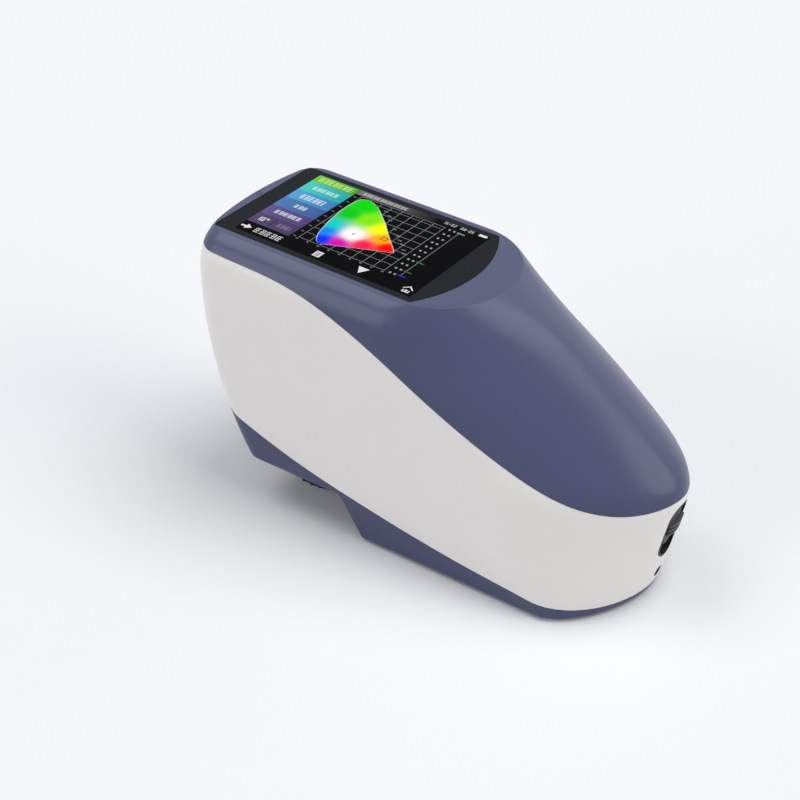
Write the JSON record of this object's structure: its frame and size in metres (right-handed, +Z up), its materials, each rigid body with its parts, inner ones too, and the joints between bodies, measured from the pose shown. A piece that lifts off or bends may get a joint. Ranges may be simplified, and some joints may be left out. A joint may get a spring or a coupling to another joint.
{
  "type": "color spectrophotometer",
  "caption": "Hand-held colour spectrophotometer: three-shell casing with a sloping hood, touch display on the flat crown, measuring nose under the head, power slider in the tail.",
  "frame": {"origin": "middle of the casing's length and width, on the plane that the foot pads and the measuring collar rest on", "axes": "+X from the measuring head to the tail, +Y to the left of someone looking from the head to the tail, +Z up"},
  "size_m": [0.184, 0.077, 0.1049],
  "materials": {
    "navy_plastic": "satin",
    "white_plastic": "satin",
    "black_plastic": "matt",
    "dark_plastic": "fine matt",
    "cover_glass": "polished, black printed border",
    "screen": "polished",
    "steel": "zinc plated",
    "pressed_tin": "tinned",
    "green_board": "solder mask",
    "anodised": "black anodised",
    "sphere_white": "matt white",
    "optical_glass": "polished",
    "mirror_coat": "polished",
    "pad_rubber": "matt",
    "battery_wrap": "shrink wrap",
    "ribbon_film": "polyimide film",
    "wire": "smooth",
    "brass_plate": "machined",
    "light_pipe": "clear",
    "tape": "adhesive",
    "lead_plate": "nickel plated"
  },
  "bodies": {
    "housing": {"base_cover": "navy_plastic", "battery_door": "navy_plastic", "battery_lead": "wire", "battery_pack": "battery_wrap", "board_chips": "black_plastic", "board_connectors": "sphere_white", "board_screws": "steel", "board_shield": "pressed_tin", "charging_socket": "dark_plastic", "concave_mirror": "mirror_coat", "display_glass": "cover_glass", "display_ribbon": "ribbon_film", "display_tape": "tape", "door_screws": "steel", "fold_holder": "anodised", "fold_mirror": "mirror_coat", "foot_pads": "pad_rubber", "grating": "mirror_coat", "inner_frame": "dark_plastic", "key_board": "green_board", "key_switch": "lead_plate", "lamp_board": "green_board", "lamp_housing": "anodised", "lamp_leds": "light_pipe", "lcd_panel": "screen", "lcd_tray": "steel", "lens": "optical_glass", "line_sensor": "black_plastic", "long_screws": "steel", "main_board": "green_board", "middle_casing": "white_plastic", "nose_barrel": "dark_plastic", "nose_screws": "steel", "optics_bench": "anodised", "optics_lid": "anodised", "power_board": "green_board", "power_parts": "black_plastic", "power_switch": "lead_plate", "sensor_board": "green_board", "short_screws": "steel", "slider_frame": "dark_plastic", "slit_plate": "anodised", "socket_board": "green_board", "sphere_lower": "sphere_white", "sphere_screws": "steel", "sphere_upper": "sphere_white", "standoffs": "brass_plate", "status_light": "light_pipe", "switch_board": "green_board", "top_cover": "navy_plastic", "tray_screws": "steel", "view_tube": "anodised"},
    "slider": {"power_slider": "black_plastic", "switch_lever": "black_plastic"},
    "key": {"measure_key": "navy_plastic", "key_plunger": "black_plastic"},
    "collar": {"aperture_collar": "dark_plastic", "aperture_plate": "sphere_white"}
  },
  "joints": [
    {"name": "power_slide", "type": "slide", "parent": "housing", "child": "slider", "axis": [0.1994, 0, 0.9799], "range_m": [-0.004, 0]},
    {"name": "measure_press", "type": "slide", "parent": "housing", "child": "key", "axis": [0.9914, 0, 0.131], "range_m": [0, 0.0012], "stiffness_N_per_m": 300, "springref_m": -0.003},
    {"name": "collar_twist", "type": "hinge", "parent": "housing", "child": "collar", "pos_m": [-0.05, 0, 0.008], "axis": [0, 0, 1], "range_deg": [0, 25]}
  ]
}
